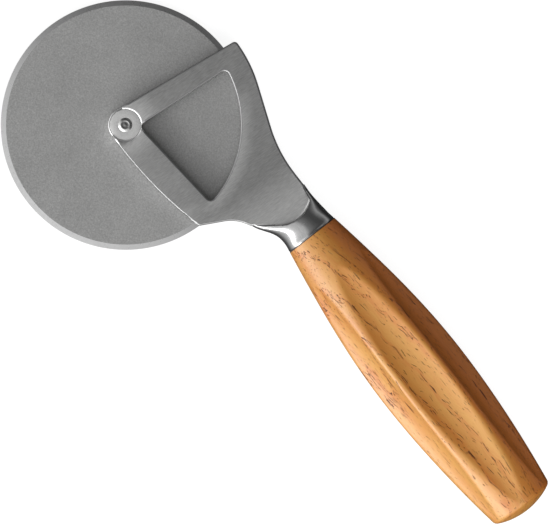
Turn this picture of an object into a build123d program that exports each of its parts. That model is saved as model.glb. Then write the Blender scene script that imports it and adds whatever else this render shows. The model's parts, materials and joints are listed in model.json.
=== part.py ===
from build123d import *
import os
from math import acos, asin, atan2, copysign, cos, degrees, pi, radians, sin, sqrt, tan

# Pizza cutter, in millimetres. The origin is the centre of the cutting wheel, half way
# through its thickness. X runs along the handle towards its butt, Y across the fork
# towards its top arm, and Z along the axle.

# Cutting wheel
wheel_radius = 40.0
wheel_thickness = 1.2
wheel_bevel = 1.7
wheel_edge = 0.2

# Clearances
running_gap = 0.05
side_gap = 0.05
assembly_gap = 0.05
slot_tip_gap = 1.2

# Axle: a rivet through both lugs, with a sleeve that the wheel turns on
shank_radius = 1.6
sleeve_radius = 2.9
thrust_washer_radius = 4.9
thrust_washer_thickness = 0.55
rivet_washer_room = 0.1
rivet_washer_thickness = 0.5
head_radius = 2.25
head_height = 0.5
head_flank = 0.5
dimple_radius = 1.3
dimple_depth = 0.3

# Fork: two cheeks with a slot between them for the wheel
fork_thickness = 9.5
edge_round = 0.6
lug_radius = 5.5
spot_wall = 0.5
spot_depth = 1.1
spot_mouth = 0.6
spot_edge_bevel = 0.3
spot_open_from = 152.0
spot_open_to = 272.0

# Outline of the fork, seen along the axle: the back follows the wheel's edge, and the
# shoulder, heel and flank are measured from the neck
top_arm_angle = 82.2
back_wall = 3.2
shoulder_run = 13.0
shoulder_blend_radius = 45.0
top_corner_radius = 1.3
lower_arm_angle = 2.8
lower_arm_end = 3.06
lower_arm_drop = 1.31
lower_corner_radius = 0.9
heel_run = 4.73
heel_fall = 2.73
heel_radius = 13.0
flank_overlap = 0.04
flank_margin = 0.18
blend_room_share = 0.95

# Window between the arms, with its round side inside the wheel's edge
window_inset = 3.1
window_tip_x = 3.05
window_tip_y = 3.4
window_top_angle = 85.1
window_lower_angle = 5.0
window_tip_radius = 1.0
window_corner_radius = 1.6

# Handle axis, bolster and neck. The neck's sections are given from the cheeks to the
# bolster: they rise from the fork's crown, and a higher power makes a squarer section
handle_axis_y = 25.37
neck_reach = 20.06
bolster_radius = 9.05
joint_relief = 0.25
neck_top_drop = 1.22
neck_length = 14.3
neck_crown = 0.45
neck_station_shares = (1.0, 0.81, 0.63, 0.47, 0.30, 0.0)
neck_upper_shares = (0.856, 0.864, 0.878, 0.900, 0.925, 1.0)
neck_lower_shares = (1.480, 1.343, 1.150, 1.015, 0.955, 1.0)
neck_rise_shares = (0.0, 0.05, 0.26, 0.69, 0.87, 1.0)
neck_section_powers = (8.0, 5.5, 3.3, 2.2, 2.0, 2.0)
neck_section_points = 32

# Flat of the fork, where it runs into the round neck
nose_setback = 6.9
nose_drop = 0.47
nose_margin = 2.45
nose_angle = 38.0
nose_inset = 0.5
nose_upper_angle = 40.0
step_round = 0.6

# Handle: a turned barrel with six straight flutes
handle_length = 109.3
belly_distance = 57.7
belly_radius = 15.1
butt_radius = 10.93
butt_dome = 2.75
butt_round = 1.0
butt_taper_power = 1.85
profile_spans = 13
flute_count = 6
flute_radius = 12.0
flute_floor = 10.65

# Stud that draws the handle on to the bolster
stud_radius = 3.0
stud_in_fork = 12.0
stud_in_handle = 45.0
stud_chamfer = 0.6
stud_end_gap = 0.5

# Room that a cutter runs past the face that it opens, and how closely an edge is found
overrun = 1.0
find_tolerance = 0.01

# Places that follow from the sizes above
half_fork = fork_thickness / 2
half_wheel = wheel_thickness / 2
half_slot = half_wheel + side_gap + thrust_washer_thickness
spot_floor = half_fork - spot_depth
spot_radius = lug_radius - spot_wall
rivet_washer_radius = spot_radius - rivet_washer_room
washer_top = spot_floor + rivet_washer_thickness
head_top = washer_top + head_height
bore_radius = shank_radius + assembly_gap
slot_radius = wheel_radius + slot_tip_gap
back_radius = slot_radius + back_wall
window_radius = wheel_radius - window_inset
joint_x = back_radius + neck_reach
neck_start_x = joint_x - neck_length
neck_top_y = handle_axis_y + bolster_radius - neck_top_drop
lower_flare_y = handle_axis_y - bolster_radius * neck_lower_shares[0]
neck_crown_height = half_fork + neck_crown
nose_radius = bolster_radius + nose_margin
nose_x = joint_x - nose_setback
nose_y = handle_axis_y - nose_drop
nose_centre_x = nose_x - nose_radius


def polar(radius, angle, x=0, y=0):
    """Point at a distance and an angle in degrees from the point x, y."""
    return (x + radius * cos(radians(angle)), y + radius * sin(radians(angle)))


def ring(inner, outer, low, high):
    """Flat ring about the axle, from the height low to the height high."""
    blank = Cylinder(outer, high - low) - Cylinder(inner, high - low + overrun)
    return Pos(0, 0, (low + high) / 2) * blank


def blend(before, corner, after, radius):
    """Two lines with a blend at their corner, no larger than the shorter line has room for."""
    back = Vector(*before) - Vector(*corner)
    ahead = Vector(*after) - Vector(*corner)
    room = min(back.length, ahead.length) * blend_room_share
    largest = room * tan(radians(back.get_angle(ahead)) / 2)
    return FilletPolyline(before, corner, after, radius=min(radius, largest))


def corner_near(sketch, point):
    """Corner of the sketch that lies nearest to the point."""
    return sketch.vertices().sort_by_distance(Vector(*point))[0]


def cutting_wheel():
    """Disc with a bevel on both sides of its edge."""
    hole = sleeve_radius + running_gap
    rim = wheel_radius - wheel_bevel
    half_edge = wheel_edge / 2
    outline = Polyline(
        (hole, -half_wheel),
        (rim, -half_wheel),
        (wheel_radius, -half_edge),
        (wheel_radius, half_edge),
        (rim, half_wheel),
        (hole, half_wheel),
        close=True,
    )
    return revolve(Plane.XZ * make_face(outline), Axis.Z)


def axle_sleeve():
    """Spacer that the two cheeks are riveted against, and the wheel's bearing."""
    return ring(bore_radius, sleeve_radius, -half_slot, half_slot)


def thrust_washer(side):
    """Slip washer between the wheel and one cheek."""
    inner = sleeve_radius + assembly_gap
    washer = ring(inner, thrust_washer_radius, half_wheel + side_gap, half_slot)
    return washer if side > 0 else mirror(washer, Plane.XY)


def rivet_washer(side):
    """Washer under one rivet head, on the floor of the lug's spot face."""
    washer = ring(bore_radius, rivet_washer_radius, spot_floor, washer_top)
    return washer if side > 0 else mirror(washer, Plane.XY)


def axle_rivet():
    """Rivet with two low domed heads, each with a dimple from the riveting tool."""
    crest = head_radius - head_flank
    dimple_foot = (0, head_top - dimple_depth)
    dimple_edge = (dimple_radius, head_top)
    outline = [
        RadiusArc(dimple_foot, dimple_edge, dimple_radius**2 / (2 * dimple_depth)),
        Line(dimple_edge, (crest, head_top)),
        Line((crest, head_top), (head_radius, washer_top)),
        Polyline((head_radius, washer_top), (shank_radius, washer_top), (shank_radius, 0)),
        Polyline((shank_radius, 0), (0, 0), dimple_foot),
    ]
    half = revolve(Plane.XZ * make_face(outline), Axis.Z)
    return half + mirror(half, Plane.XY)


def fork_outline():
    """Outline of both arms, the back bar and the nose that lies inside the neck."""
    lug_top = polar(lug_radius, top_arm_angle + 90)
    lug_left = polar(lug_radius, 180)
    lug_bottom = polar(lug_radius, -90 - lower_arm_angle)
    lower_corner = (window_radius + lower_arm_end, -lower_arm_drop)
    flank = (neck_start_x + flank_overlap, lower_flare_y - flank_margin)
    heel = (flank[0] - heel_run, flank[1] - heel_fall)
    top_flank = (flank[0], neck_top_y)
    shoulder = (flank[0] - shoulder_run, neck_top_y)
    shoulder_angle = degrees(atan2(shoulder[1], shoulder[0]))
    tangent_angle = degrees(acos(back_radius / Vector(*shoulder).length))
    back_end_angle = shoulder_angle + tangent_angle
    top_corner_angle = top_arm_angle + degrees(asin(lug_radius / back_radius))
    top_corner = polar(back_radius, top_corner_angle)
    back_middle = polar(back_radius, (top_corner_angle + back_end_angle) / 2)
    back_end = polar(back_radius, back_end_angle)
    inner = nose_radius - nose_inset
    nose_upper = polar(inner, nose_upper_angle, nose_centre_x, nose_y)
    nose_tip = polar(inner, 0, nose_centre_x, nose_y)
    to_flank = Vector(*flank) - Vector(nose_centre_x, nose_y)
    nose_lower_angle = atan2(to_flank.Y, to_flank.X) + acos(inner / to_flank.length)
    nose_lower = polar(inner, degrees(nose_lower_angle), nose_centre_x, nose_y)
    edges = [
        ThreePointArc(lug_bottom, lug_left, lug_top),
        Line(lug_top, top_corner),
        ThreePointArc(top_corner, back_middle, back_end),
        blend(back_end, shoulder, top_flank, shoulder_blend_radius),
        Line(top_flank, nose_upper),
        ThreePointArc(nose_upper, nose_tip, nose_lower),
        Line(nose_lower, flank),
        blend(flank, heel, lower_corner, heel_radius),
        TangentArc(lug_bottom, lower_corner, tangent=polar(1, -lower_arm_angle)),
    ]
    sketch = make_face(edges)
    sketch = fillet(corner_near(sketch, top_corner), top_corner_radius)
    return fillet(corner_near(sketch, lower_corner), lower_corner_radius)


def window_outline():
    """Three-sided opening between the arms, with its far side concentric with the wheel."""
    tip = (window_tip_x, window_tip_y)

    def rim_point(angle):
        """Point where the window's edge from the tip at this angle meets its round side."""
        along = tip[0] * cos(radians(angle)) + tip[1] * sin(radians(angle))
        reach = sqrt(along**2 - tip[0] ** 2 - tip[1] ** 2 + window_radius**2) - along
        return polar(reach, angle, *tip)

    top = rim_point(window_top_angle)
    right = rim_point(window_lower_angle)
    middle = polar(window_radius, (window_top_angle + window_lower_angle) / 2)
    sketch = make_face([Line(tip, top), ThreePointArc(top, middle, right), Line(right, tip)])
    sketch = fillet(corner_near(sketch, tip), window_tip_radius)
    sketch = fillet(corner_near(sketch, top), window_corner_radius)
    return fillet(corner_near(sketch, right), window_corner_radius)


def cheeks():
    """Flat part of the fork, with rounded edges, before the slot is cut."""
    plate = extrude(fork_outline() - window_outline(), half_fork, both=True)
    faces = plate.faces().filter_by(Plane.XY).sort_by(Axis.Z)
    return fillet(faces[0].edges() + faces[-1].edges(), edge_round)


def oval(half_width, half_height, power):
    """Closed curve that is an ellipse at the power 2 and squarer at higher powers."""
    points = []
    for index in range(neck_section_points):
        turn = 2 * pi * index / neck_section_points
        across = copysign(abs(cos(turn)) ** (2 / power), cos(turn))
        along = copysign(abs(sin(turn)) ** (2 / power), sin(turn))
        points.append((half_width * across, half_height * along))
    return Spline(points, periodic=True)


def neck():
    """Neck that is round at the bolster, and flattens as it flares into the cheeks."""
    sections = []
    shares = zip(neck_station_shares, neck_upper_shares, neck_lower_shares, neck_rise_shares)
    for (station, upper, lower, rise), power in zip(shares, neck_section_powers):
        centre_y = handle_axis_y + bolster_radius * (upper - lower) / 2
        half_width = bolster_radius * (upper + lower) / 2
        half_height = neck_crown_height + (bolster_radius - neck_crown_height) * rise
        centre = (joint_x - neck_length * station, centre_y, 0)
        plane = Plane(centre, x_dir=(0, 1, 0), z_dir=(1, 0, 0))
        sections.append(plane * make_face(oval(half_width, half_height, power)))
    flare = loft(sections)
    end = flare.faces().sort_by(Axis.X)[-1]
    return chamfer(end.edges(), joint_relief)


def flat_cutter():
    """Tool that takes the neck down to the near cheek's face, with a rounded tip."""
    low = polar(nose_radius, -nose_angle, nose_centre_x, nose_y)
    high = polar(nose_radius, nose_angle, nose_centre_x, nose_y)
    tip = (nose_x, nose_y)
    reach = neck_length + overrun
    low_end = polar(reach, -90 - nose_angle, *low)
    high_end = polar(reach, 90 + nose_angle, *high)
    sketch = make_face([Polyline(high, high_end, low_end, low), ThreePointArc(low, tip, high)])
    tool = Pos(0, 0, half_fork) * extrude(sketch, bolster_radius)
    foot = tool.faces().sort_by(Axis.Z)[0]
    curved = foot.edges().sort_by(Axis.X)[1:]
    return fillet(curved, step_round)


def spot_cutter():
    """Tool for the near lug's spot face, which is open on the side away from the arms."""
    height = spot_depth + overrun
    reach = lug_radius + overrun
    turns = (spot_open_from, (spot_open_from + spot_open_to) / 2, spot_open_to)
    wedge = make_face(Polyline((0, 0), *(polar(reach, turn) for turn in turns), close=True))
    tool = Pos(0, 0, spot_floor + height / 2) * Cylinder(spot_radius, height)
    tool += Pos(0, 0, half_fork - spot_mouth / 2) * Cone(spot_radius, spot_radius + spot_mouth, spot_mouth)
    return tool + Pos(0, 0, spot_floor) * extrude(wedge, height)


def open_lug_edges(body):
    """Outer edges of both lugs, where their spot faces are open."""
    rounds = body.edges().filter_by(GeomType.CIRCLE)
    rounds = rounds.filter_by(lambda edge: abs(edge.radius - lug_radius) < find_tolerance)
    return rounds.filter_by(lambda edge: abs(abs(edge.center().Z) - spot_floor) < find_tolerance)


def fork():
    """Cast fork in one piece with its round neck and bolster."""
    flat_tool = flat_cutter()
    spot_tool = spot_cutter()
    body = cheeks() + (neck() - flat_tool - mirror(flat_tool, Plane.XY))
    body -= Cylinder(slot_radius, 2 * half_slot)
    body -= Cylinder(bore_radius, fork_thickness + overrun)
    body = body - spot_tool - mirror(spot_tool, Plane.XY)
    body = chamfer(open_lug_edges(body), spot_edge_bevel)
    depth = stud_in_fork + stud_end_gap
    drill = Cylinder(stud_radius + assembly_gap, depth + overrun)
    place = Pos(joint_x + (overrun - depth) / 2, handle_axis_y, 0)
    return body - place * Rot(0, 90, 0) * drill


def handle_radius_at(distance):
    """Radius of the turned barrel at a distance from the bolster."""
    if distance < belly_distance:
        rise = sin(pi / 2 * distance / belly_distance)
        return bolster_radius + (belly_radius - bolster_radius) * rise
    past_share = (distance - belly_distance) / (handle_length - belly_distance)
    return belly_radius - (belly_radius - butt_radius) * past_share**butt_taper_power


def handle():
    """Turned wooden barrel with a domed butt, six flutes and a hole for the stud."""
    distances = [handle_length * i / profile_spans for i in range(profile_spans)]
    side = Spline([(d, handle_radius_at(d)) for d in (*distances, handle_length)])
    apex = (handle_length + butt_dome, 0)
    rim = (handle_length, butt_radius)
    dome_radius = (butt_radius**2 + butt_dome**2) / (2 * butt_dome)
    dome = RadiusArc(rim, apex, dome_radius)
    base = Polyline(apex, (0, 0), (0, bolster_radius))
    barrel = revolve(make_face([side, dome, base]), Axis.X)
    barrel = chamfer(barrel.edges().filter_by(Plane.YZ).sort_by(Axis.X)[0], joint_relief)
    barrel = fillet(barrel.edges().filter_by(Plane.YZ).sort_by(Axis.X)[-1], butt_round)
    flute_length = handle_length + butt_dome + overrun
    flute = Pos(flute_length / 2, 0, flute_floor + flute_radius) * Rot(0, 90, 0)
    for index in range(flute_count):
        turn = Rot(index * 360 / flute_count, 0, 0)
        barrel -= turn * flute * Cylinder(flute_radius, flute_length)
    depth = stud_in_handle + stud_end_gap
    drill = Cylinder(stud_radius + assembly_gap, depth + overrun)
    barrel -= Pos((depth - overrun) / 2, 0, 0) * Rot(0, 90, 0) * drill
    return Pos(joint_x, handle_axis_y, 0) * barrel


def handle_stud():
    """Steel stud that is fast in the bolster and glued into the handle."""
    length = stud_in_fork + stud_in_handle
    stud = chamfer(Cylinder(stud_radius, length).edges().filter_by(GeomType.CIRCLE), stud_chamfer)
    return Pos(joint_x + (stud_in_handle - stud_in_fork) / 2, handle_axis_y, 0) * Rot(0, 90, 0) * stud


pieces = {
    "cutting_wheel": cutting_wheel(),
    "axle_sleeve": axle_sleeve(),
    "near_thrust_washer": thrust_washer(1),
    "far_thrust_washer": thrust_washer(-1),
    "near_rivet_washer": rivet_washer(1),
    "far_rivet_washer": rivet_washer(-1),
    "axle_rivet": axle_rivet(),
    "fork": fork(),
    "handle_stud": handle_stud(),
    "handle": handle(),
}

os.makedirs("parts", exist_ok=True)
for name, piece in pieces.items():
    piece.label = name
    export_step(piece, f"parts/{name}.step")
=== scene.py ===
import json
from math import acos, asin, atan2, cos, pi, radians, sin, sqrt

import bmesh
import bpy
from bpy.props import FloatProperty, FloatVectorProperty, IntProperty, PointerProperty
from mathutils import Matrix, Vector


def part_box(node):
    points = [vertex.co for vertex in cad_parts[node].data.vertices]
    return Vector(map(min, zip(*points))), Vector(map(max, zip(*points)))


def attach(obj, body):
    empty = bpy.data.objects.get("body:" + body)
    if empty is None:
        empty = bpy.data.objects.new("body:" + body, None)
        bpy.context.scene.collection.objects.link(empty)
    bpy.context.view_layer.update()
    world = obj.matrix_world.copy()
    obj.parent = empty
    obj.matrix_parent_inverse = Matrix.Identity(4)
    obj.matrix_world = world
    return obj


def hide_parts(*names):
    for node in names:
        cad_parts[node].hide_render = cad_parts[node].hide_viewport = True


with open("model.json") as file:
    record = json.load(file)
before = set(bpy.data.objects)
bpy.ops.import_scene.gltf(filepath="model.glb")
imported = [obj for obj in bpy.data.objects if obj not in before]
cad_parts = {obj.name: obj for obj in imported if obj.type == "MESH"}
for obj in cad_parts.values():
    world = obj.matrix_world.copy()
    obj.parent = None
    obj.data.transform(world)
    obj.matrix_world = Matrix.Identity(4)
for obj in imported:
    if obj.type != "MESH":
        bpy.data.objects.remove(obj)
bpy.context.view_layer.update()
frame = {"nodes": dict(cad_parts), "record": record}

bl_info = {
    "name": "Pizza Cutter",
    "version": (1, 0, 0),
    "blender": (4, 5, 0),
    "location": "3D View > Sidebar > Cutter",
    "description": "Models and finishes a pizza cutter with a steel wheel and an oak handle",
    "category": "Add Mesh",
}

MM = 0.001
PER_MM = 1000.0

WHEEL_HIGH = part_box("cutting_wheel")[1]
SLEEVE_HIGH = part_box("axle_sleeve")[1]
RIVET_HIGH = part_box("axle_rivet")[1]
WASHER_LOW, WASHER_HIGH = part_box("near_rivet_washer")
FORK_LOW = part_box("fork")[0]
HANDLE_LOW, HANDLE_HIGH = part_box("handle")
STUD_LOW, STUD_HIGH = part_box("handle_stud")

JOINT_X = HANDLE_LOW.x
HANDLE_AXIS_Y = (HANDLE_LOW.y + HANDLE_HIGH.y) / 2
HANDLE_LENGTH = HANDLE_HIGH.x - HANDLE_LOW.x
BELLY_RADIUS = (HANDLE_HIGH.y - HANDLE_LOW.y) / 2
FLAT_HEIGHT = next(mount["pos_m"][2] for mount in frame["record"]["mounts"] if mount["name"] == "near_flat")

SHARP_ANGLE = radians(28)
BEVEL_SHARP_ANGLE = radians(8)
MERGE_DISTANCE = 0.002 * MM
FLAT_NORMAL = 0.9995
FLAT_TOLERANCE = 0.01 * MM
WHEEL_STEPS = 256
TURNED_STEPS = 96

# Direction from ring to ring through the oak, and the share of a ring that is porous early wood
RING_DIRECTION = (0.0, -0.80, 0.60)
EARLY_WOOD = (0.12, 0.34)

# Columns of the handle's grid on half a flute: all of them, up to the hollow's edge, and up to the ridge's edge
COLUMNS_EACH_SIDE = 16
HOLLOW_COLUMNS = 7
RIDGE_COLUMNS = 14

# Lights that reflections show
MIRRORED_LIGHTS = ("key",)

# Bands of light round the handle's axis: heading in degrees from straight up, and brightness
BAND_DIRECTION = (-0.12, 0.993, 0.0)
BANDS = (
    (-180, 0.04), (-140, 0.08), (-128, 0.18), (-112, 0.45), (-98, 0.62), (-86, 1.20), (-76, 1.50), (-66, 1.50),
    (-56, 1.06), (-48, 0.78), (-30, 0.60), (-14, 0.57), (-5, 0.38), (3, 0.22), (11, 0.19), (27, 0.11),
    (44, 0.07), (62, 0.075), (72, 0.14), (82, 0.23), (94, 0.36), (106, 0.11), (122, 0.02), (180, 0.04),
)


def length(label, note, default, top=1.0):
    """A size that a user may change, in metres."""
    return FloatProperty(
        name=label, description=note, default=default, min=0.0, max=top, unit="LENGTH", precision=5
    )


def share(label, note, default, top=1.0):
    """A plain number that a user may change."""
    return FloatProperty(name=label, description=note, default=default, min=0.0, max=top)


def angle(label, note, default):
    """An angle that a user may change, given here in degrees."""
    return FloatProperty(
        name=label, description=note, default=radians(default), min=-pi, max=pi, subtype="ANGLE"
    )


def colour(label, note, default):
    """A colour that a user may change."""
    return FloatVectorProperty(
        name=label, description=note, default=default, min=0.0, max=1.0, size=3, subtype="COLOR"
    )


class WheelSettings(bpy.types.PropertyGroup):
    bevel_width: length("Bevel width", "How far the ground bevel runs in from the edge", 1.7 * MM)
    edge_thickness: length("Edge thickness", "Steel left at the cutting edge", 0.2 * MM)
    running_gap: length("Running gap", "Gap between the wheel's hole and the sleeve", 0.05 * MM)
    hole_break: length("Hole break", "Small bevel at the hole's edges", 0.15 * MM)
    face_tone: colour("Face", "Colour of the matt ground faces", (0.62, 0.62, 0.615))
    bevel_tone: colour("Bevel", "Colour of the ground bevel", (0.82, 0.82, 0.82))
    face_roughness: share("Face roughness", "Roughness of the matt ground faces", 0.75)
    bevel_roughness: share("Bevel roughness", "Roughness of the ground bevel", 0.30)


class ForkSettings(bpy.types.PropertyGroup):
    flat_tone: colour("Flats", "Colour of the brushed flats", (0.51, 0.51, 0.505))
    edge_tone: colour("Edges", "Colour of the arms' rounded edges", (0.48, 0.48, 0.48))
    cast_tone: colour("Neck", "Colour of the polished neck", (0.70, 0.70, 0.70))
    # Painted highlight: the cast steel round the lug is coloured near white, standing in for the light that its
    # rounded ring and step catch
    lug_painted_highlight_tone: colour("Lug ring", "Colour of the bright rounded ring round the lug", (0.98, 0.98, 0.98))
    lug_painted_highlight_radius: length("Lug ring radius", "How far out from the axle the bright ring goes", 6.1 * MM)
    lug_painted_highlight_fade: length("Lug ring fade", "Width over which the bright ring fades", 0.4 * MM)
    # Painted sheen: these brighten the flats' colour along the window, round the lug, at the neck and on the lower
    # arm's side, standing in for light that the flats catch
    window_painted_sheen_strength: share("Window shine", "How much brighter the flats are along the window", 0.60)
    lug_painted_sheen_strength: share("Lug shine", "How much brighter the flats are round the lug", 0.55)
    neck_painted_sheen_strength: share("Neck shine", "How much brighter the flats are at the neck", 0.62)
    side_painted_sheen_strength: share("Side shine", "How much brighter the flats are on the lower arm's side", 0.25)
    line_contrast: share("Line contrast", "Strength of the brushed lines", 0.24)
    slow_contrast: share("Slow contrast", "Strength of the slow changes of tone", 0.06)
    flat_roughness: share("Flat roughness", "Roughness of the brushed flats", 0.46)
    edge_roughness: share("Edge roughness", "Roughness of the arms' rounded edges", 0.40)
    neck_roughness: share("Neck roughness", "Roughness of the polished neck", 0.15)
    polish_start: length("Polish start", "From the joint to where the polish begins", 15.0 * MM)
    polish_end: length("Polish end", "From the joint to where the polish is full", 12.0 * MM)
    window_radius: length("Window radius", "Radius of the window's round side", 36.9 * MM)
    # The window, lug and neck sheen sizes below place the painted sheen on the flats
    window_painted_sheen_width: length("Window sheen", "Width of the brighter brushing along the window", 4.8 * MM)
    lug_radius: length("Lug radius", "Radius of the spot face round the rivet", 5.4 * MM)
    lug_painted_sheen_width: length("Lug sheen", "Width of the brighter brushing round the lug", 8.0 * MM)
    neck_painted_sheen_start: length("Neck sheen", "From the joint to where brighter brushing begins", 24.0 * MM)
    nose_radius: length("Nose radius", "Radius of the flat's end at the neck", 11.5 * MM)
    nose_setback: length("Nose setback", "From the joint to the tip of the flat's end", 6.9 * MM)
    nose_cove: length("Nose cove", "Width of the brushed cove round the flat's end", 0.8 * MM)
    brush_angle: angle("Brush direction", "Direction of the brushed lines, from the handle's axis", 87.0)


class AxleSettings(bpy.types.PropertyGroup):
    shank_radius: length("Shank radius", "Radius of the rivet's shank", 1.6 * MM)
    head_flank: length("Head flank", "Width of the head's sloping flank, seen from above", 0.72 * MM)
    head_round: length("Head round", "Rounding of the head's crest", 0.2 * MM)
    dimple_radius: length("Dimple radius", "Radius of the riveting tool's dimple", 1.25 * MM)
    dimple_wall: length("Dimple wall", "Width of the dimple's sloping wall, seen from above", 0.2 * MM)
    dimple_depth: length("Dimple depth", "Depth of the riveting tool's dimple", 0.16 * MM)
    nub_radius: length("Nub radius", "Radius of the nub in the dimple's middle", 0.42 * MM)
    nub_height: length("Nub height", "Height of the nub in the dimple's middle", 0.1 * MM)
    washer_gap: length("Washer gap", "Gap between a washer and the shank", 0.05 * MM)
    washer_round: length("Washer round", "Rounding of a washer's edges", 0.12 * MM)
    washer_tone: colour("Washers", "Colour of the bright washers", (0.98, 0.98, 0.97))
    rivet_tone: colour("Rivet", "Colour of the rivet", (0.70, 0.70, 0.69))
    punched_tone: colour("Dimple", "Colour of the punched dimple", (0.36, 0.36, 0.355))
    sleeve_tone: colour("Sleeve", "Colour of the turned sleeve", (0.62, 0.62, 0.61))
    stud_tone: colour("Stud", "Colour of the handle's stud", (0.50, 0.50, 0.49))
    washer_roughness: share("Washer roughness", "Roughness of the washers", 0.62)
    rivet_roughness: share("Rivet roughness", "Roughness of the rivet", 0.24)
    punched_roughness: share("Dimple roughness", "Roughness of the punched dimple", 0.36)
    sleeve_roughness: share("Sleeve roughness", "Roughness of the turned sleeve", 0.28)
    stud_roughness: share("Stud roughness", "Roughness of the handle's stud", 0.40)


class HandleSettings(bpy.types.PropertyGroup):
    bolster_radius: length("Radius at the joint", "Radius of the barrel where it meets the steel", 9.05 * MM)
    belly_distance: length("Belly distance", "From the joint to the thickest place", 57.7 * MM)
    butt_radius: length("Butt radius", "Radius of the barrel at its butt", 10.93 * MM)
    butt_dome: length("Butt dome", "Height of the domed end", 2.75 * MM)
    butt_round: length("Butt round", "Rounding of the butt's rim", 1.0 * MM)
    butt_taper_power: share("Taper power", "How late the barrel falls to its butt", 1.85, 6.0)
    joint_relief: length("Joint relief", "Bevel at the joint", 0.25 * MM)
    flute_count: IntProperty(name="Flutes", description="Flutes round the handle", default=6, min=3, max=12)
    flute_radius: length("Flute radius", "Hollow of a flute where it begins and ends", 12.0 * MM)
    belly_flute_radius: length("Flute radius at the belly", "Hollow of a flute at the thickest place", 14.8 * MM)
    flute_floor: length("Flute floor", "From the axis to a flute's floor where it begins and ends", 11.15 * MM)
    belly_flute_floor: length("Flute floor at the belly", "The same at the thickest place", 11.85 * MM)
    ridge_round: length("Ridge rounding", "Radius of the sanded ridges between the flutes", 3.2 * MM)
    stud_gap: length("Stud gap", "Gap between the stud and its hole", 0.05 * MM)
    pale_wood: colour("Pale wood", "Colour of the pale late wood", (0.75, 0.36, 0.064))
    warm_wood: colour("Warm wood", "Colour of the darker early wood", (0.66, 0.205, 0.018))
    # Painted shade: this darker red colours the faces that turn to +Y, away from the key light
    red_painted_shade_wood: colour("Red wood", "Colour of the faces that turn to the red side", (0.56, 0.160, 0.019))
    pore: colour("Pores", "Colour of the open pores", (0.09, 0.020, 0.003))
    joint_stain: colour("Joint stain", "Colour of the end grain at the joint", (0.045, 0.016, 0.008))
    stain_width: length("Stain width", "Width of the dark end grain at the joint", 0.4 * MM)
    ring_width: length("Ring width", "Width of a growth ring", 4.4 * MM)
    fibre_slant: share("Fibre slant", "How much the fibres slant at the joint, across for along", 0.20)
    slant_length: length("Slant length", "From the joint to where the fibres run along the handle", 112.0 * MM)
    fibre_waver: length("Fibre waver", "How far the fibres waver from a straight line", 2.2 * MM)
    pore_depth: length("Pore depth", "Depth of the open pores", 0.28 * MM)
    oil_roughness: share("Oil roughness", "Roughness of the oiled surface", 0.45)


class StageSettings(bpy.types.PropertyGroup):
    camera_aim: FloatVectorProperty(
        name="Camera aim", description="Point that the camera looks at", size=3, default=(0.0642, 0.0106, 0.0),
        subtype="TRANSLATION", unit="LENGTH"
    )
    view_width: length("View width", "Width of the view at the wheel", 176.3 * MM)
    view_roll: angle("View roll", "Turn of the picture about the axle", -51.98)
    lens: FloatProperty(
        name="Lens", description="Focal length of the camera", default=400.0, min=10.0, unit="CAMERA"
    )
    floor_radius: length("Floor radius", "Radius of the floor", 3.0, 20.0)
    floor_tone: colour("Floor", "Colour of the pale floor", (0.30, 0.30, 0.30))
    floor_glow: share("Floor glow", "Light that the pale floor adds of its own", 0.90, 4.0)
    backdrop_tone: colour("Backdrop", "Colour of the pale backdrop", (0.93, 0.93, 0.93))
    panel_strength: share("Panels", "Brightness of the soft panels round the cutter", 2.0, 10.0)
    key_radiance: share("Key light", "Brightness of the long soft light beside the handle", 2.7, 50.0)
    key_distance: length("Key distance", "From the cutter to the key light", 0.9, 10.0)
    key_height: angle("Key height", "Height of the key light above the floor", 17.0)
    key_heading: angle("Key heading", "Direction of the key light, from the handle's axis", -83.0)
    key_length: length("Key length", "Length of the key light, along the handle", 1.3, 10.0)
    key_width: length("Key width", "Width of the key light", 0.36, 10.0)
    fill_radiance: share("Fill light", "Brightness of the soft light over the handle's butt", 2.6, 50.0)
    fill_distance: length("Fill distance", "From the cutter to the fill light", 1.0, 10.0)
    fill_height: angle("Fill height", "Height of the fill light above the floor", 50.0)
    fill_heading: angle("Fill heading", "Direction of the fill light, from the handle's axis", 0.0)
    fill_length: length("Fill length", "Length of the fill light", 0.7, 10.0)
    fill_width: length("Fill width", "Width of the fill light", 0.7, 10.0)
    bounce_radiance: share("Bounce light", "Brightness of the soft light low on the other side", 1.0, 50.0)
    bounce_distance: length("Bounce distance", "From the cutter to the bounce light", 1.0, 10.0)
    bounce_height: angle("Bounce height", "Height of the bounce light above the floor", -4.0)
    bounce_heading: angle("Bounce heading", "Direction of the bounce light, from the handle's axis", 97.0)
    bounce_length: length("Bounce length", "Length of the bounce light, along the handle", 1.3, 10.0)
    bounce_width: length("Bounce width", "Width of the bounce light", 0.36, 10.0)


GROUPS = {
    "wheel": WheelSettings,
    "fork": ForkSettings,
    "axle": AxleSettings,
    "handle": HandleSettings,
    "stage": StageSettings,
}


def settings(group):
    """The scene's settings for one group of pieces."""
    return getattr(bpy.context.scene, f"cutter_{group}")


# Meshes


def wire(points, rounds=None, segments=4):
    """Bmesh of an open or closed line of points, with some of its corners rounded."""
    bm = bmesh.new()
    verts = [bm.verts.new(point) for point in points]
    for start, end in zip(verts, verts[1:]):
        bm.edges.new((start, end))
    for index, offset in (rounds or {}).items():
        bmesh.ops.bevel(
            bm, geom=[verts[index]], offset=offset, offset_type="OFFSET", affect="VERTICES",
            segments=segments, profile=0.5, material=-1, clamp_overlap=True
        )
    return bm


def turn(bm, axis, steps):
    """Turns the bmesh's line about an axis through the origin into a closed skin."""
    bmesh.ops.spin(
        bm, geom=[*bm.verts, *bm.edges], cent=(0, 0, 0), axis=axis, dvec=(0, 0, 0), angle=2 * pi,
        steps=steps, use_merge=True, use_duplicate=False
    )
    bmesh.ops.remove_doubles(bm, verts=bm.verts, dist=MERGE_DISTANCE)
    bmesh.ops.recalc_face_normals(bm, faces=bm.faces)


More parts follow.
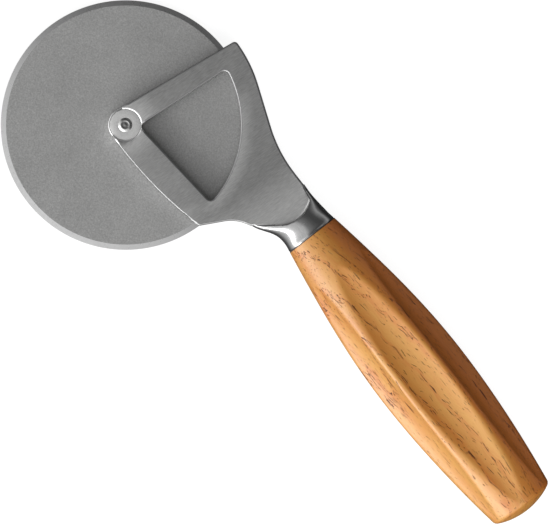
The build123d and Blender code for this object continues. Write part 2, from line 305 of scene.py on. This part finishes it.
def piece(name, bm, materials, body, nodes, sharp=SHARP_ANGLE):
    """Object from a bmesh that rides on a body and stands for CAD nodes."""
    mesh = bpy.data.meshes.new(name)
    bm.to_mesh(mesh)
    bm.free()
    mesh.shade_smooth()
    mesh.set_sharp_from_angle(angle=sharp)
    for material in materials:
        mesh.materials.append(material)
    made = bpy.data.objects.new(name, mesh)
    bpy.context.scene.collection.objects.link(made)
    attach(made, body)
    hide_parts(*nodes)
    return made


# Materials


def node(tree, kind, values=None, **options):
    """Node with its options set, and its sockets given a constant or another node's socket."""
    made = tree.nodes.new(kind)
    for name, value in options.items():
        setattr(made, name, value)
    for key, value in (values or {}).items():
        if isinstance(value, bpy.types.NodeSocket):
            tree.links.new(value, made.inputs[key])
        else:
            made.inputs[key].default_value = value
    return made


def blank_material(name):
    """Material with a bare surface shader, as (material, tree, shader)."""
    material = bpy.data.materials.new(name)
    material.use_nodes = True
    tree = material.node_tree
    tree.nodes.clear()
    shader = node(tree, "ShaderNodeBsdfPrincipled")
    node(tree, "ShaderNodeOutputMaterial", {"Surface": shader.outputs[0]})
    return material, tree, shader


def place(tree, centre=(0, 0, 0), turned=0.0, stretch=(1, 1, 1)):
    """Object coordinates in millimetres from a centre, turned about Z, then stretched."""
    coordinates = node(tree, "ShaderNodeTexCoord").outputs["Object"]
    centred = node(
        tree, "ShaderNodeMapping",
        {0: coordinates, "Location": [-c * PER_MM for c in centre], "Scale": (PER_MM,) * 3}
    )
    rotated = node(tree, "ShaderNodeMapping", {0: centred.outputs[0], "Rotation": (0, 0, -turned)})
    return node(tree, "ShaderNodeMapping", {0: rotated.outputs[0], "Scale": stretch}).outputs[0]


def grain(tree, where, scale, detail=3.0, rough=0.5):
    """Noise between 0 and 1."""
    values = {"Vector": where, "Scale": scale, "Detail": detail, "Roughness": rough}
    return node(tree, "ShaderNodeTexNoise", values).outputs["Fac"]


def split(tree, vector):
    """The three parts of a vector."""
    return node(tree, "ShaderNodeSeparateXYZ", {0: vector}).outputs


def from_axle(tree, coordinates):
    """Distance from the axle, seen from above."""
    flat = node(tree, "ShaderNodeVectorMath", {0: coordinates, 1: (1, 1, 0)}, operation="MULTIPLY")
    return node(tree, "ShaderNodeVectorMath", {0: flat.outputs[0]}, operation="LENGTH").outputs["Value"]


def ramp(tree, value, low, high, to_low=0.0, to_high=1.0, smooth=False):
    """Value taken from one range to another, and held at its ends."""
    made = node(
        tree, "ShaderNodeMapRange", {0: value, 1: low, 2: high, 3: to_low, 4: to_high},
        interpolation_type="SMOOTHSTEP" if smooth else "LINEAR"
    )
    return made.outputs[0]


def maths(tree, operation, first, second=0.0):
    """One sum of two values."""
    return node(tree, "ShaderNodeMath", {0: first, 1: second}, operation=operation).outputs[0]


def blend(tree, factor, first, second):
    """Two colours blended by a factor."""
    made = node(tree, "ShaderNodeMix", data_type="RGBA", clamp_factor=True)
    for index, value in ((0, factor), (6, first), (7, second)):
        if isinstance(value, bpy.types.NodeSocket):
            tree.links.new(value, made.inputs[index])
        else:
            made.inputs[index].default_value = value if index == 0 else (*value, 1.0)
    return made.outputs[2]


def bump(tree, height, distance):
    """Normal raised by a height between 0 and 1 times a distance in metres."""
    return node(tree, "ShaderNodeBump", {"Height": height, "Distance": distance}).outputs[0]


def steel(name, tone, roughness, lines=0.0, stretch=(1, 1, 1), fineness=2.5, contrast=0.1, relief=0.002):
    """Steel with a fine grain, drawn out along its lines, and slow changes of tone."""
    material, tree, shader = blank_material(name)
    fine = grain(tree, place(tree, turned=lines, stretch=stretch), fineness, detail=4.0, rough=0.65)
    slow = grain(tree, place(tree), 0.06, detail=2.0)
    near, far = ramp(tree, fine, 0.25, 0.75, -contrast, contrast), ramp(tree, slow, 0.3, 0.7, -0.04, 0.04)
    factor = ramp(tree, maths(tree, "ADD", near, far), -0.5, 0.5)
    tone = Vector(tone)
    tree.links.new(blend(tree, factor, tone * 0.5, tone * 1.5), shader.inputs["Base Color"])
    rough = ramp(tree, fine, 0.3, 0.7, roughness * 0.88, roughness * 1.12)
    tree.links.new(rough, shader.inputs["Roughness"])
    tree.links.new(bump(tree, fine, relief * MM), shader.inputs["Normal"])
    shader.inputs["Metallic"].default_value = 1.0
    return material


def nylon():
    """Natural nylon with a faint cloudiness."""
    material, tree, shader = blank_material("natural_nylon")
    cloud = grain(tree, place(tree), 0.8, detail=3.0)
    tree.links.new(blend(tree, cloud, (0.70, 0.68, 0.62), (0.80, 0.79, 0.74)), shader.inputs["Base Color"])
    tree.links.new(ramp(tree, cloud, 0.3, 0.7, 0.42, 0.52), shader.inputs["Roughness"])
    tree.links.new(bump(tree, grain(tree, place(tree), 6.0), 0.004 * MM), shader.inputs["Normal"])
    return material


def dashes(tree, where, presence, rare, common):
    """Thin marks along a stretched grain, from rare to common as their presence goes from 0 to 1."""
    level = grain(tree, where, 1.0, detail=0.0)
    needed = ramp(tree, presence, 0.0, 1.0, rare, common)
    return ramp(tree, maths(tree, "SUBTRACT", level, needed), 0.0, 0.04, smooth=True)


def fibre_space(tree, s):
    """Coordinates in millimetres whose X runs along the fibres, which slant at the joint and waver a little."""
    centre = (JOINT_X, HANDLE_AXIS_Y, 0)
    x, y, z = split(tree, place(tree, centre))
    easing = maths(tree, "MULTIPLY", x, s.fibre_slant / (2 * s.slant_length * PER_MM))
    shift = maths(tree, "MULTIPLY", x, maths(tree, "SUBTRACT", s.fibre_slant, easing))
    straight = node(tree, "ShaderNodeCombineXYZ", {0: x, 1: maths(tree, "SUBTRACT", y, shift), 2: z})
    slow = place(tree, centre, stretch=(0.03, 0.08, 0.08))
    drift = node(tree, "ShaderNodeTexNoise", {"Vector": slow, "Detail": 0.0}).outputs["Color"]
    reach = (0.0, s.fibre_waver * PER_MM, s.fibre_waver * PER_MM)
    waver = node(tree, "ShaderNodeVectorMath", {0: drift, 1: reach}, operation="MULTIPLY")
    bent = node(tree, "ShaderNodeVectorMath", {0: straight.outputs[0], 1: waver.outputs[0]}, operation="ADD")
    return bent.outputs[0]


def along_fibres(tree, fibres, along, across):
    """The fibres' coordinates, stretched along the fibres and across them."""
    return node(tree, "ShaderNodeMapping", {0: fibres, "Scale": (along, across, across)}).outputs[0]


def early_wood(tree, s, fibres):
    """How far a point lies in the porous early wood of its growth ring, from 0 to 1."""
    depth = node(tree, "ShaderNodeVectorMath", {0: fibres, 1: RING_DIRECTION}, operation="DOT_PRODUCT")
    ring = maths(tree, "FRACT", maths(tree, "DIVIDE", depth.outputs["Value"], s.ring_width * PER_MM))
    rise = ramp(tree, ring, 0.0, 0.08, smooth=True)
    fall = ramp(tree, ring, *EARLY_WOOD, 1.0, 0.0, smooth=True)
    return maths(tree, "MULTIPLY", rise, fall)


def open_pores(tree, fibres, early):
    """Long pores in rows in the early wood, and finer ones between the rows."""
    clusters = grain(tree, along_fibres(tree, fibres, 0.06, 0.3), 1.0, detail=1.0)
    presence = maths(tree, "MULTIPLY", early, ramp(tree, clusters, 0.35, 0.60, 0.45, 1.0))
    long = dashes(tree, along_fibres(tree, fibres, 0.12, 2.8), presence, rare=0.80, common=0.625)
    fine = dashes(tree, along_fibres(tree, fibres, 0.20, 4.2), early, rare=0.75, common=0.66)
    return maths(tree, "MAXIMUM", long, maths(tree, "MULTIPLY", fine, 0.7))


def oak():
    """Oiled oak: growth rings that cross the handle at a slant, with rows of open pores in the early wood."""
    s = settings("handle")
    material, tree, shader = blank_material("oiled_oak")
    along, across, _ = split(tree, place(tree, (JOINT_X, HANDLE_AXIS_Y, 0)))
    fibres = fibre_space(tree, s)
    early = early_wood(tree, s, fibres)
    pores = open_pores(tree, fibres, early)

    # Tone of the wood, warmer in the early wood and in slow clouds, with painted shade that makes it redder and
    # darker on one side
    fibre = grain(tree, along_fibres(tree, fibres, 0.08, 4.0), 1.0, detail=4.0, rough=0.6)
    cloud = grain(tree, along_fibres(tree, fibres, 0.03, 0.2), 1.0, detail=2.0)
    warmth = maths(tree, "ADD", maths(tree, "MULTIPLY", early, 0.35), ramp(tree, cloud, 0.3, 0.7, 0.0, 0.6))
    warmth = maths(tree, "ADD", warmth, ramp(tree, fibre, 0.25, 0.75, -0.35, 0.35))
    honey = blend(tree, warmth, s.pale_wood, s.warm_wood)
    facing = split(tree, node(tree, "ShaderNodeTexCoord").outputs["Normal"])["Y"]
    # Painted shade: faces that turn to +Y take the darker red wood
    turned = ramp(tree, facing, -0.05, 0.80, smooth=True)
    red = blend(tree, fibre, Vector(s.red_painted_shade_wood) * 0.75, Vector(s.red_painted_shade_wood) * 1.25)
    tone = blend(tree, turned, honey, red)
    # Painted shade: darker towards the +Y side, from 10 to 15 mm off the axis
    tone = blend(tree, ramp(tree, across, 10.0, 15.0, 0.0, 0.25), tone, (0, 0, 0))
    open_wood = blend(tree, maths(tree, "MULTIPLY", pores, 0.92), tone, s.pore)
    stain = ramp(tree, along, s.stain_width * PER_MM * 0.7, s.stain_width * PER_MM, 1.0, 0.0, smooth=True)
    tree.links.new(blend(tree, stain, open_wood, s.joint_stain), shader.inputs["Base Color"])

    # Surface
    height = maths(tree, "SUBTRACT", ramp(tree, fibre, 0.2, 0.8, 0.0, 0.10), pores)
    tree.links.new(bump(tree, height, s.pore_depth), shader.inputs["Normal"])
    tree.links.new(ramp(tree, fibre, 0.25, 0.75, 0.38, 0.50), shader.inputs["Roughness"])
    sealed = ramp(tree, pores, 0.0, 0.5, 1.0, 0.0)
    # The coat is thinner where the painted shade is
    oiled = maths(tree, "MULTIPLY", sealed, ramp(tree, turned, 0.0, 1.0, 1.0, 0.1))
    tree.links.new(oiled, shader.inputs["Coat Weight"])
    shader.inputs["Specular IOR Level"].default_value = 0.6
    shader.inputs["Coat Roughness"].default_value = s.oil_roughness
    shader.inputs["Coat IOR"].default_value = 1.75
    return material


def brushed_flats():
    """Brushed steel with painted sheen: its colour is brighter along the window's round side, round the lug,
    towards the neck and on the lower arm's side.
    """
    s = settings("fork")
    material, tree, shader = blank_material("brushed_steel")
    lines = grain(tree, place(tree, turned=s.brush_angle, stretch=(0.14, 1, 1)), 3.2, detail=4.0, rough=0.65)
    slow = grain(tree, place(tree), 0.07, detail=2.0)
    coordinates = place(tree)
    along, across, _ = split(tree, coordinates)
    radius = from_axle(tree, coordinates)
    window, window_end = s.window_radius * PER_MM, (s.window_radius + s.window_painted_sheen_width) * PER_MM
    lug, lug_end = s.lug_radius * PER_MM, (s.lug_radius + s.lug_painted_sheen_width) * PER_MM
    neck, neck_end = (JOINT_X - s.neck_painted_sheen_start) * PER_MM, (JOINT_X - s.polish_end) * PER_MM

    # The window's painted sheen stays on the bar between the arms
    on_bar = maths(tree, "MULTIPLY", ramp(tree, along, 12.0, 22.0), ramp(tree, across, 2.0, 10.0))
    beyond = maths(tree, "MULTIPLY", ramp(tree, radius, window - 1, window), on_bar)
    # Painted sheen at the window, the lug, the neck and the lower arm's side, then the brushed lines and slow
    # changes of tone
    painted_sheens_and_grain = (
        maths(tree, "MULTIPLY", ramp(tree, radius, window, window_end, s.window_painted_sheen_strength, 0.0), beyond),
        ramp(tree, radius, lug, lug_end, s.lug_painted_sheen_strength, 0.0, smooth=True),
        ramp(tree, along, neck, neck_end, 0.0, s.neck_painted_sheen_strength),
        ramp(tree, across, -8.0, 10.0, s.side_painted_sheen_strength, 0.0),
        ramp(tree, lines, 0.25, 0.75, -s.line_contrast, s.line_contrast),
        ramp(tree, slow, 0.3, 0.7, -s.slow_contrast, s.slow_contrast),
    )
    brightness = 0.0
    for sheen in painted_sheens_and_grain:
        brightness = maths(tree, "ADD", sheen, brightness)
    tone = Vector(s.flat_tone)
    bright = blend(tree, ramp(tree, brightness, -0.6, 0.9), tone * 0.4, tone * 1.9)
    tree.links.new(bright, shader.inputs["Base Color"])
    rough = ramp(tree, lines, 0.3, 0.7, s.flat_roughness * 0.88, s.flat_roughness * 1.12)
    tree.links.new(rough, shader.inputs["Roughness"])
    tree.links.new(bump(tree, lines, 0.012 * MM), shader.inputs["Normal"])
    shader.inputs["Metallic"].default_value = 1.0
    return material


def polished_cast():
    """Cast steel that is satin on the arms' edges and polished on the neck, with a painted highlight that colours
    it near white round the lug.
    """
    s = settings("fork")
    material, tree, shader = blank_material("polished_cast_steel")
    fine = grain(tree, place(tree, stretch=(0.5, 2, 2)), 1.2, detail=4.0)
    coordinates = place(tree)
    along = split(tree, coordinates)["X"]
    polish = ramp(tree, along, (JOINT_X - s.polish_start) * PER_MM, (JOINT_X - s.polish_end) * PER_MM)
    # Painted highlight round the lug
    ring_end = (s.lug_painted_highlight_radius + s.lug_painted_highlight_fade) * PER_MM
    painted_lug_highlight_mask = ramp(tree, from_axle(tree, coordinates), s.lug_painted_highlight_radius * PER_MM, ring_end, 1.0, 0.0)
    tone = blend(tree, polish, s.edge_tone, s.cast_tone)
    tone = blend(tree, painted_lug_highlight_mask, tone, s.lug_painted_highlight_tone)
    tone = blend(tree, ramp(tree, fine, 0.3, 0.7, 0.0, 0.08), tone, (0, 0, 0))
    tree.links.new(tone, shader.inputs["Base Color"])
    tree.links.new(ramp(tree, polish, 0, 1, s.edge_roughness, s.neck_roughness), shader.inputs["Roughness"])
    tree.links.new(bump(tree, fine, 0.0015 * MM), shader.inputs["Normal"])
    shader.inputs["Metallic"].default_value = 1.0
    return material


# Pieces


class CUTTER_OT_make_wheel(bpy.types.Operator):
    """Make the cutting wheel, with its ground bevels and its hole"""
    bl_idname = "cutter.make_wheel"
    bl_label = "Make cutting wheel"

    def execute(self, context):
        s = settings("wheel")
        radius, half = WHEEL_HIGH.x, WHEEL_HIGH.z
        hole = SLEEVE_HIGH.x + s.running_gap
        rim, edge = radius - s.bevel_width, s.edge_thickness / 2
        top = [(radius, 0, edge), (rim, 0, half), (hole, 0, half), (hole, 0, 0)]
        bottom = [(x, y, -z) for x, y, z in top[2::-1]]
        profile = wire([*top, *bottom, top[0]], {2: s.hole_break, 4: s.hole_break}, 3)
        turn(profile, (0, 0, 1), WHEEL_STEPS)
        for face in profile.faces:
            face.material_index = int(face.calc_center_median().xy.length > rim)
        ground = steel("ground_steel", s.face_tone, s.face_roughness, fineness=2.1, contrast=0.28, relief=0.006)
        bevel = steel(
            "ground_bevel_steel", s.bevel_tone, s.bevel_roughness, fineness=1.0, contrast=0.03, relief=0.0
        )
        finishes = [ground, bevel]
        piece("wheel_ground", profile, finishes, "wheel", ["cutting_wheel"], BEVEL_SHARP_ANGLE)
        return {"FINISHED"}


class CUTTER_OT_make_fork(bpy.types.Operator):
    """Make the fork, with its brushed flats and polished neck"""
    bl_idname = "cutter.make_fork"
    bl_label = "Make fork"

    def execute(self, context):
        s = settings("fork")
        bm = bmesh.new()
        bm.from_mesh(frame["nodes"]["fork"].data)
        bmesh.ops.remove_doubles(bm, verts=bm.verts, dist=MERGE_DISTANCE)
        bm.normal_update()
        for face in bm.faces:
            face.material_index = 0
            if abs(face.normal.z) > FLAT_NORMAL:
                height = abs(face.calc_center_median().z)
                face.material_index = 1 if abs(height - FLAT_HEIGHT) < FLAT_TOLERANCE else 2
            elif self.in_cove(s, face):
                face.material_index = 1
        milled = steel("milled_steel", s.flat_tone, s.flat_roughness, fineness=3.0, contrast=0.08, relief=0.006)
        finishes = [polished_cast(), brushed_flats(), milled]
        made = piece("fork_finished", bm, finishes, "holder", ["fork"])
        weighted = made.modifiers.new("Weighted normals", "WEIGHTED_NORMAL")
        weighted.keep_sharp = True
        return {"FINISHED"}

    def in_cove(self, s, face):
        """Whether a face lies in the cove that goes round the flat's end at the neck."""
        middle = face.calc_center_median()
        centre = Vector((JOINT_X - s.nose_setback - s.nose_radius, HANDLE_AXIS_Y))
        inset = s.nose_radius - (middle.xy - centre).length
        return -MERGE_DISTANCE < inset < s.nose_cove and abs(middle.z) > FLAT_HEIGHT and middle.x > centre.x


class CUTTER_OT_make_axle(bpy.types.Operator):
    """Make the rivet and its two washers"""
    bl_idname = "cutter.make_axle"
    bl_label = "Make axle"

    def execute(self, context):
        self.make_rivet()
        self.make_washers()
        return {"FINISHED"}

    def make_rivet(self):
        s = settings("axle")
        head, top, seat = RIVET_HIGH.x, RIVET_HIGH.z, WASHER_HIGH.z
        floor = top - s.dimple_depth
        upper = [
            (0, 0, floor + s.nub_height),
            (s.nub_radius / 2, 0, floor + s.nub_height),
            (s.nub_radius, 0, floor),
            (s.dimple_radius - s.dimple_wall, 0, floor),
            (s.dimple_radius, 0, top),
            (head - s.head_flank, 0, top),
            (head, 0, seat),
            (s.shank_radius, 0, seat),
            (s.shank_radius, 0, 0),
        ]
        lower = [(x, y, -z) for x, y, z in upper[-2::-1]]
        rounds = {1: s.nub_radius / 4, 3: s.dimple_wall / 2, 4: s.dimple_wall / 2, 5: s.head_round}
        last = len(upper) + len(lower) - 1
        rounds.update({last - index: offset for index, offset in rounds.items()})
        profile = wire([*upper, *lower], rounds, 3)
        turn(profile, (0, 0, 1), TURNED_STEPS)
        for face in profile.faces:
            middle = face.calc_center_median()
            face.material_index = int(middle.xy.length < s.dimple_radius and abs(middle.z) > seat)
        bright = steel("rivet_steel", s.rivet_tone, s.rivet_roughness, fineness=3.0, contrast=0.05, relief=0.004)
        punched = steel(
            "punched_steel", s.punched_tone, s.punched_roughness, fineness=3.0, contrast=0.15, relief=0.01
        )
        piece("rivet_finished", profile, [bright, punched], "holder", ["axle_rivet"])

    def make_washers(self):
        s = settings("axle")
        inner, outer = s.shank_radius + s.washer_gap, WASHER_HIGH.x
        low, high = WASHER_LOW.z, WASHER_HIGH.z
        bright = steel("washer_steel", s.washer_tone, s.washer_roughness, fineness=2.6, contrast=0.08, relief=0.006)
        for side, name in ((1, "near_rivet_washer"), (-1, "far_rivet_washer")):
            corners = [(inner, 0, low), (outer, 0, low), (outer, 0, high), (inner, 0, high), (inner, 0, low)]
            profile = wire([(x, y, side * z) for x, y, z in corners], {2: s.washer_round, 3: s.washer_round}, 3)
            turn(profile, (0, 0, 1), TURNED_STEPS)
            piece(f"{name}_finished", profile, [bright], "holder", [name])


class CUTTER_OT_finish_inner_parts(bpy.types.Operator):
    """Give the sleeve, the slip washers and the handle's stud their finishes"""
    bl_idname = "cutter.finish_inner_parts"
    bl_label = "Finish inner parts"

    def execute(self, context):
        s = settings("axle")
        turned = steel(
            "turned_steel", s.sleeve_tone, s.sleeve_roughness, stretch=(1, 1, 6), fineness=1.6, contrast=0.06
        )
        plain = steel("plain_steel", s.stud_tone, s.stud_roughness, stretch=(5, 1, 1), fineness=1.2, contrast=0.08)
        slip = nylon()
        finishes = {
            "axle_sleeve": turned,
            "near_thrust_washer": slip,
            "far_thrust_washer": slip,
            "handle_stud": plain,
        }
        for name, material in finishes.items():
            mesh = frame["nodes"][name].data
            mesh.materials.clear()
            mesh.materials.append(material)
        return {"FINISHED"}


class CUTTER_OT_make_handle(bpy.types.Operator):
    """Make the turned oak handle with its flutes"""
    bl_idname = "cutter.make_handle"
    bl_label = "Make handle"

    side_stations = 150
    dome_stations = 10

    def execute(self, context):
        s = settings("handle")
        bm = self.barrel(s)
        for vert in bm.verts:
            self.flute(s, vert)
        # The fluted section would stand about 0.1 mm above the CAD model's box
        highest = max(vert.co.z for vert in bm.verts)
        bmesh.ops.scale(bm, verts=bm.verts, vec=(1, 1, HANDLE_HIGH.z / highest))
        bmesh.ops.recalc_face_normals(bm, faces=bm.faces)
        bmesh.ops.translate(bm, verts=bm.verts, vec=(JOINT_X, HANDLE_AXIS_Y, 0))
        piece("handle_oiled", bm, [oak()], "holder", ["handle"])
        return {"FINISHED"}

    def barrel(self, s):
        """Turned barrel before fluting, from its joint at the origin along X."""
        rim = HANDLE_LENGTH - s.butt_dome
        room = 2 * s.butt_round
        bore = (STUD_HIGH.z - STUD_LOW.z) / 2 + s.stud_gap
        depth = STUD_HIGH.x - JOINT_X + 10 * s.stud_gap
        points = [(depth, 0, 0), (depth, 0, bore), (0, 0, bore), (0, 0, s.bolster_radius)]
        joint_corner = len(points) - 1
        for step in range(1, self.side_stations + 1):
            x = (rim - room) * step / self.side_stations
            points.append((x, 0, self.barrel_radius(s, x)))
        rim_corner = len(points)
        points.append((rim, 0, s.butt_radius))
        dome_radius = (s.butt_radius**2 + s.butt_dome**2) / (2 * s.butt_dome)
        widest = asin((s.butt_radius - room) / dome_radius)
        for step in range(self.dome_stations, -1, -1):
            turned = widest * step / self.dome_stations
            points.append((HANDLE_LENGTH - dome_radius * (1 - cos(turned)), 0, dome_radius * sin(turned)))
        bm = wire(points, {joint_corner: s.joint_relief, rim_corner: s.butt_round}, 6)
        turn(bm, (1, 0, 0), 2 * COLUMNS_EACH_SIDE * s.flute_count)
        return bm

    def barrel_radius(self, s, x):
        """Radius of the turned barrel at a distance from the joint."""
        if x < s.belly_distance:
            return s.bolster_radius + (BELLY_RADIUS - s.bolster_radius) * sin(pi / 2 * x / s.belly_distance)
        past_share = (x - s.belly_distance) / (HANDLE_LENGTH - s.butt_dome - s.belly_distance)
        return BELLY_RADIUS - (BELLY_RADIUS - s.butt_radius) * past_share**s.butt_taper_power

    def flute(self, s, vert):
        """Moves one vertex of the barrel in to the fluted section, and the grid's columns to the ridges."""
        barrel = Vector(vert.co.yz).length
        if barrel < s.flute_floor / 2 or vert.co.x < MERGE_DISTANCE:
            return
        sector = 2 * pi / s.flute_count
        heading = atan2(vert.co.y, vert.co.z)
        middle = round(heading / sector) * sector
        local = heading - middle
        section = FluteSection(s, barrel)
        turned = section.crowd(abs(local) / (sector / 2))
        radius = section.radius(turned)
        heading = middle + (turned if local > 0 else -turned)
        vert.co.y = radius * sin(heading)
        vert.co.z = radius * cos(heading)


class FluteSection:
    """Half of one flute across the handle: a hollow arc, a sanded ridge and what is left of the barrel."""

    least_hollow = radians(10)
    least_ridge = radians(2)
    least_land = radians(1)

    def __init__(self, s, barrel):
        self.barrel = barrel
        self.half_sector = pi / s.flute_count
        depth_share = (barrel - s.flute_floor) / (BELLY_RADIUS - s.flute_floor)
        depth_share = min(max(depth_share, 0.0), 1.0) ** 2
        floor = s.flute_floor + (s.belly_flute_floor - s.flute_floor) * depth_share
        self.hollow = s.flute_radius + (s.belly_flute_radius - s.flute_radius) * depth_share
        self.offset = floor + self.hollow
        self.ridge = s.ridge_round
        self.ridge_turn = self.turn_between(barrel - self.ridge, self.hollow + self.ridge)
        if self.ridge_turn > self.half_sector:
            self.ridge_turn = self.half_sector
            across, short = self.offset * sin(self.half_sector), self.offset * cos(self.half_sector) - barrel
            self.ridge = (short**2 + across**2 - self.hollow**2) / (2 * (self.hollow - short))
        reach = barrel - self.ridge
        share_of_way = self.hollow / (self.hollow + self.ridge)
        touch = Vector((self.offset, 0)).lerp(
            Vector((reach * cos(self.ridge_turn), reach * sin(self.ridge_turn))), share_of_way
        )
        self.touch_turn = atan2(touch.y, touch.x) if self.ridge_turn > 0 else 0.0

    def turn_between(self, near, apart):
        """Angle at the axis between the flute's centre and a point at a distance from both."""
        cosine = (near**2 + self.offset**2 - apart**2) / (2 * near * self.offset)
        return acos(min(max(cosine, -1.0), 1.0))

    def radius(self, turned):
        """Radius of the section at an angle from the flute's middle."""
        if turned < self.touch_turn:
            across = self.offset * sin(turned)
            return self.offset * cos(turned) - sqrt(self.hollow**2 - across**2)
        if turned < self.ridge_turn:
            reach = self.barrel - self.ridge
            past = self.ridge_turn - turned
            return reach * cos(past) + sqrt(max(self.ridge**2 - (reach * sin(past)) ** 2, 0.0))
        return self.barrel

    def crowd(self, place_share):
        """Angle of a column of the grid, crowded on to the ridge."""
        inner = max(self.touch_turn, self.least_hollow)
        outer = min(max(self.ridge_turn, inner + self.least_ridge), self.half_sector - self.least_land)
        hollow_share, ridge_share = HOLLOW_COLUMNS / COLUMNS_EACH_SIDE, RIDGE_COLUMNS / COLUMNS_EACH_SIDE
        stops = ((0.0, 0.0), (hollow_share, inner), (ridge_share, outer), (1.0, self.half_sector))
        for (start, low), (end, high) in zip(stops, stops[1:]):
            if place_share <= end:
                return low + (high - low) * (place_share - start) / (end - start)
        return self.half_sector


# Stage


class CUTTER_OT_make_stage(bpy.types.Operator):
    """Make the floor, the soft lights and the camera"""
    bl_idname = "cutter.make_stage"
    bl_label = "Make stage"

    def execute(self, context):
        s = settings("stage")
        self.make_camera(context, s)
        self.make_floor(context, s)
        for name in ("key", "fill", "bounce"):
            self.make_light(context, s, name)
        self.make_surroundings(context, s)
        context.scene.view_settings.view_transform = "Standard"
        return {"FINISHED"}

    def make_camera(self, context, s):
        data = bpy.data.cameras.new("camera")
        data.lens = s.lens
        data.clip_end = 20.0
        camera = bpy.data.objects.new("camera", data)
        distance = s.view_width * s.lens / data.sensor_width
        above = Matrix.Translation(Vector(s.camera_aim) + Vector((0, 0, distance)))
        camera.matrix_world = above @ Matrix.Rotation(-s.view_roll, 4, "Z")
        context.scene.collection.objects.link(camera)
        context.scene.camera = camera

    def make_floor(self, context, s):
        """Pale floor under the cutter, which lies on the handle's belly and the end of the fork."""
        belly = Vector((JOINT_X + settings("handle").belly_distance, 0, HANDLE_LOW.z))
        toe = Vector((FORK_LOW.x, 0, -FLAT_HEIGHT))
        slope = atan2(toe.z - belly.z, belly.x - toe.x)
        bm = bmesh.new()
        bmesh.ops.create_circle(bm, cap_ends=True, cap_tris=False, segments=TURNED_STEPS, radius=s.floor_radius)
        bmesh.ops.rotate(bm, verts=bm.verts, cent=(0, 0, 0), matrix=Matrix.Rotation(slope, 3, "Y"))
        bmesh.ops.translate(bm, verts=bm.verts, vec=belly)
        mesh = bpy.data.meshes.new("floor")
        bm.to_mesh(mesh)
        bm.free()
        material, tree, shader = blank_material("pale_floor")
        mottle = grain(tree, place(tree), 0.02, detail=3.0)
        tone = Vector(s.floor_tone)
        tree.links.new(blend(tree, mottle, tone * 0.985, tone), shader.inputs["Base Color"])
        shader.inputs["Roughness"].default_value = 0.9
        shader.inputs["Specular IOR Level"].default_value = 0.1
        shader.inputs["Emission Color"].default_value = (1.0, 1.0, 1.0, 1.0)
        shader.inputs["Emission Strength"].default_value = s.floor_glow
        mesh.materials.append(material)
        floor = bpy.data.objects.new("floor", mesh)
        context.scene.collection.objects.link(floor)
        floor.visible_glossy = False
        floor.visible_diffuse = False

    def make_light(self, context, s, name):
        """Soft rectangular light that faces the cutter."""
        values = ("radiance", "distance", "height", "heading", "length", "width")
        radiance, distance, height, heading, long, wide = (getattr(s, f"{name}_{value}") for value in values)
        data = bpy.data.lights.new(name, "AREA")
        data.shape = "RECTANGLE"
        data.size = long
        data.size_y = wide
        data.energy = radiance * pi * long * wide
        light = bpy.data.objects.new(name, data)
        away = Vector((cos(heading) * cos(height), sin(heading) * cos(height), sin(height)))
        light.location = Vector(s.camera_aim) + away * distance
        light.rotation_mode = "QUATERNION"
        light.rotation_quaternion = away.to_track_quat("Z", "Y")
        light.visible_camera = False
        light.visible_glossy = name in MIRRORED_LIGHTS
        context.scene.collection.objects.link(light)

    def make_surroundings(self, context, s):
        """Soft panels round the cutter, as bands that run along the handle, and a pale backdrop."""
        world = bpy.data.worlds.new("studio")
        world.use_nodes = True
        tree = world.node_tree
        tree.nodes.clear()
        direction = node(tree, "ShaderNodeTexCoord").outputs["Generated"]
        side = node(tree, "ShaderNodeVectorMath", {0: direction, 1: BAND_DIRECTION}, operation="DOT_PRODUCT")
        turned = maths(tree, "ARCTAN2", side.outputs["Value"], split(tree, direction)["Z"])
        bands = node(tree, "ShaderNodeValToRGB", {0: ramp(tree, turned, -pi, pi)})
        elements = bands.color_ramp.elements
        for heading, _ in BANDS[1:-1]:
            elements.new((heading + 180) / 360)
        for element, (_, brightness) in zip(elements, BANDS):
            element.color = (brightness / s.panel_strength,) * 3 + (1.0,)
        light = node(tree, "ShaderNodeBackground", {0: bands.outputs[0], 1: s.panel_strength})
        backdrop = node(tree, "ShaderNodeBackground", {0: (*s.backdrop_tone, 1.0), 1: 1.0})
        seen = node(tree, "ShaderNodeLightPath").outputs["Is Camera Ray"]
        either = node(tree, "ShaderNodeMixShader", {0: seen, 1: light.outputs[0], 2: backdrop.outputs[0]})
        node(tree, "ShaderNodeOutputWorld", {"Surface": either.outputs[0]})
        context.scene.world = world


class CUTTER_PT_panel(bpy.types.Panel):
    """Lists the cutter's pieces and their settings"""
    bl_idname = "CUTTER_PT_panel"
    bl_label = "Pizza cutter"
    bl_space_type = "VIEW_3D"
    bl_region_type = "UI"
    bl_category = "Cutter"

    def draw(self, context):
        for operator in OPERATORS:
            self.layout.operator(operator.bl_idname)
        for group, kind in GROUPS.items():
            box = self.layout.box()
            box.label(text=group.capitalize())
            for name in kind.__annotations__:
                box.prop(settings(group), name)


OPERATORS = (
    CUTTER_OT_make_stage,
    CUTTER_OT_make_wheel,
    CUTTER_OT_make_fork,
    CUTTER_OT_make_axle,
    CUTTER_OT_finish_inner_parts,
    CUTTER_OT_make_handle,
)


def register():
    for kind in (*GROUPS.values(), *OPERATORS, CUTTER_PT_panel):
        bpy.utils.register_class(kind)
    for group, kind in GROUPS.items():
        setattr(bpy.types.Scene, f"cutter_{group}", PointerProperty(type=kind))


def unregister():
    for group in GROUPS:
        delattr(bpy.types.Scene, f"cutter_{group}")
    for kind in reversed((*GROUPS.values(), *OPERATORS, CUTTER_PT_panel)):
        bpy.utils.unregister_class(kind)


def main():
    register()
    bpy.ops.cutter.make_stage()
    bpy.ops.cutter.make_wheel()
    bpy.ops.cutter.make_fork()
    bpy.ops.cutter.make_axle()
    bpy.ops.cutter.finish_inner_parts()
    bpy.ops.cutter.make_handle()


if __name__ == "__main__":
    main()
